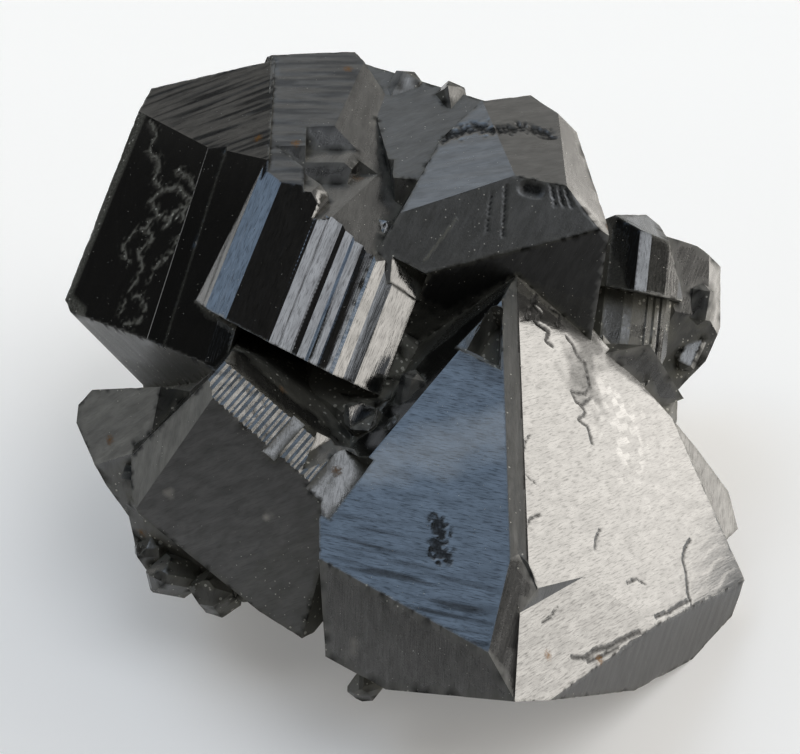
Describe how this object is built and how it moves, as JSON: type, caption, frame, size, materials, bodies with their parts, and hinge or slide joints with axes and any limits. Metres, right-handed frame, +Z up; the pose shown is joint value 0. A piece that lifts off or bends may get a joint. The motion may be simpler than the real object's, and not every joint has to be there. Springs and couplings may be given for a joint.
{
  "type": "crystal cluster mineral specimen",
  "caption": "Compact cluster of stubby black tin-oxide crystals grown together, with pyramid tips, striped prism faces and a ground flat to stand on.",
  "frame": {"origin": "middle of the bounding box on the plane that the specimen rests on", "axes": "+Z up, -Y towards the side that the picture shows, +X to its right; the longest side lies along Y"},
  "size_m": [0.0408, 0.0468, 0.0259],
  "materials": {
    "cassiterite": "near-black crystal with an adamantine gloss, dusty in its clefts"
  },
  "bodies": {
    "root": {"cassiterite_cluster": "cassiterite"}
  },
  "joints": []
}
